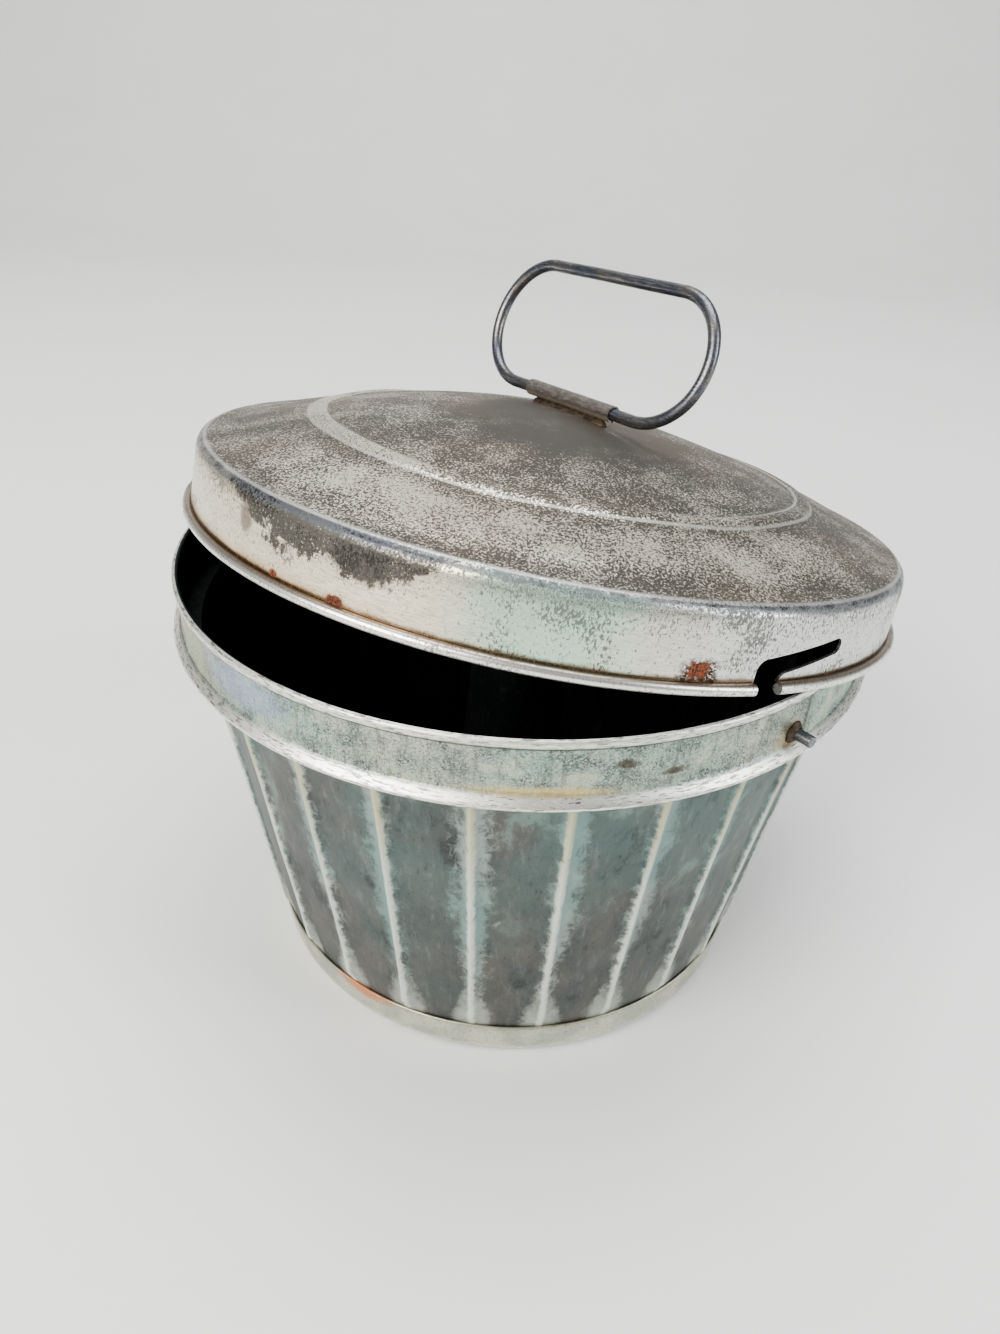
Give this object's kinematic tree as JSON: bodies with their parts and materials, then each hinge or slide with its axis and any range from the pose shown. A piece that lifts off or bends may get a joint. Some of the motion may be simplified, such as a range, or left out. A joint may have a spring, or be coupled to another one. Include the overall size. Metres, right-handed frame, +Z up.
{
  "type": "lidded pudding mould",
  "caption": "Fluted tin pudding mould with a pinned collar and centre tube, its domed lid with slots and a folding wire handle resting askew on the rim.",
  "frame": {"origin": "on the table, under the middle of the whole outline, with the lid as it rests", "axes": "+Z up; +Y away from the viewer, so the lid sits off to the back and right of the pot; +X to the viewer's right"},
  "size_m": [0.1818, 0.1824, 0.1781],
  "materials": {
    "wall_tin": "dull tinplate with pale oxide streaks",
    "collar_tin": "mottled grey-green tinplate",
    "base_tin": "worn cream-grey tinplate",
    "tube_tin": "dull tinplate",
    "lid_tin": "worn, pitted tinplate",
    "edge_tin": "bright worn tinplate",
    "solder": "brown stained solder",
    "steel_wire": "satin blue-grey steel"
  },
  "bodies": {
    "pot": {"fluted_wall": "wall_tin", "base_pan": "base_tin", "centre_tube": "tube_tin", "tube_cap": "tube_tin", "collar": "collar_tin", "pin_front": "steel_wire", "pin_back": "steel_wire", "pin_solder_front": "solder", "pin_solder_back": "solder"},
    "lid": {"lid_shell": "lid_tin", "edge_wire_a": "edge_tin", "edge_wire_b": "edge_tin", "handle_sleeve": "base_tin", "sleeve_solder": "solder"},
    "handle": {"handle_wire": "steel_wire"}
  },
  "joints": [
    {"name": "lid_lift", "type": "slide", "parent": "pot", "child": "lid", "axis": [0, 0, 1], "range_m": [0, 0.08]},
    {"name": "handle_fold", "type": "hinge", "parent": "lid", "child": "handle", "pos_m": [0.00667, 0.00788, 0.14863], "axis": [0.6342, -0.7725, 0.032], "range_deg": [-82, 108]}
  ]
}
